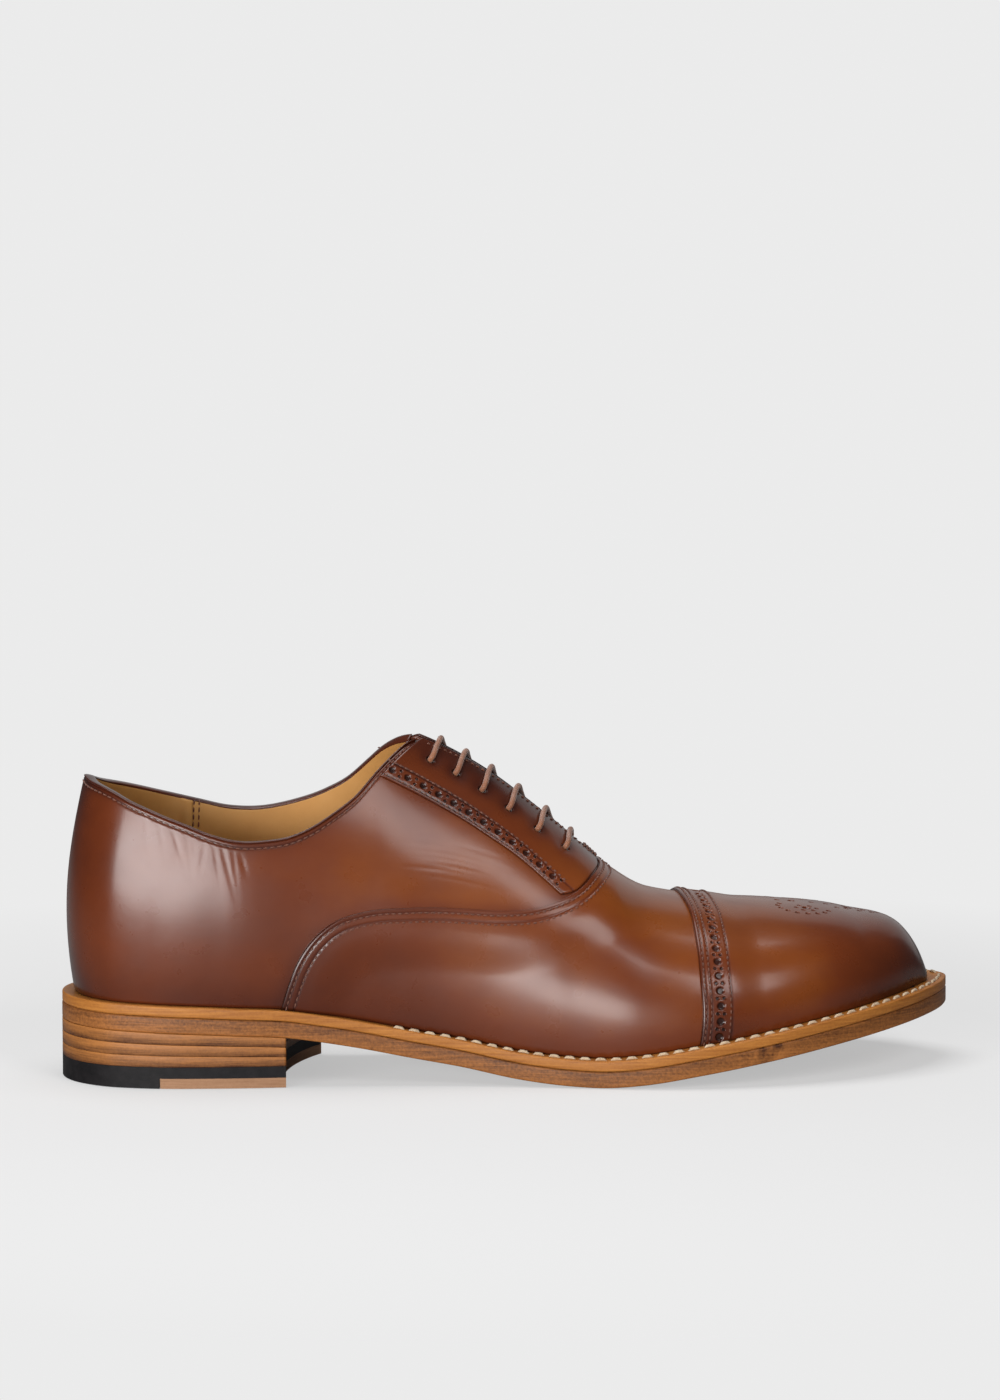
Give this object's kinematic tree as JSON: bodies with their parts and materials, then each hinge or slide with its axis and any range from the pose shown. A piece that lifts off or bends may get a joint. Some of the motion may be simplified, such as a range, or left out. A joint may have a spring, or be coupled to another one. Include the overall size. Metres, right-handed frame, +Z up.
{
  "type": "leather oxford shoe",
  "caption": "Men's leather oxford shoe: toe cap with punched medallion, closed lacing, leather sole, stacked heel, hinged tongue.",
  "frame": {"origin": "centre of the shoe's length and width, on the floor", "axes": "+X to the toe, +Y to the inner (medial) side of this right shoe, +Z up"},
  "size_m": [0.304, 0.1056, 0.1148],
  "materials": {
    "sole_leather": "matte",
    "welt_leather": "satin",
    "insole_leather": "matte",
    "lining_leather": "matte",
    "cork": "matte",
    "shank_steel": "satin",
    "stacked_leather": "satin",
    "heel_rubber": "matte",
    "insert_leather": "matte",
    "welt_thread": "matte",
    "upper_leather": "polished",
    "stay_fabric": "matte",
    "stiffener": "matte",
    "lace_cotton": "waxed"
  },
  "bodies": {
    "shoe": {"outsole": "sole_leather", "welt": "welt_leather", "insole": "insole_leather", "sock_liner": "lining_leather", "cork_filler": "cork", "shank": "shank_steel", "heel_lift_1": "stacked_leather", "heel_lift_2": "stacked_leather", "heel_lift_3": "stacked_leather", "top_piece_rubber": "heel_rubber", "top_piece_leather": "insert_leather", "welt_stitching": "welt_thread", "vamp": "upper_leather", "toe_cap": "upper_leather", "quarter_lateral": "upper_leather", "quarter_medial": "upper_leather", "facing_lateral": "upper_leather", "facing_medial": "upper_leather", "facing_stay_lateral": "stay_fabric", "facing_stay_medial": "stay_fabric", "quarter_lining_lateral": "lining_leather", "quarter_lining_medial": "lining_leather", "heel_lining": "lining_leather", "vamp_lining": "lining_leather", "heel_counter": "stiffener", "toe_puff": "stiffener", "topline_binding": "upper_leather", "lace": "lace_cotton"},
    "tongue_flap": {"tongue": "upper_leather", "tongue_lining": "lining_leather"}
  },
  "joints": [
    {"name": "tongue_hinge", "type": "hinge", "parent": "shoe", "child": "tongue_flap", "pos_m": [0.0215, 0.0017, 0.064], "axis": [0, -1, 0], "range_deg": [0, 12], "stiffness_Nm_per_rad": 0.03, "springref_deg": -8.02}
  ]
}
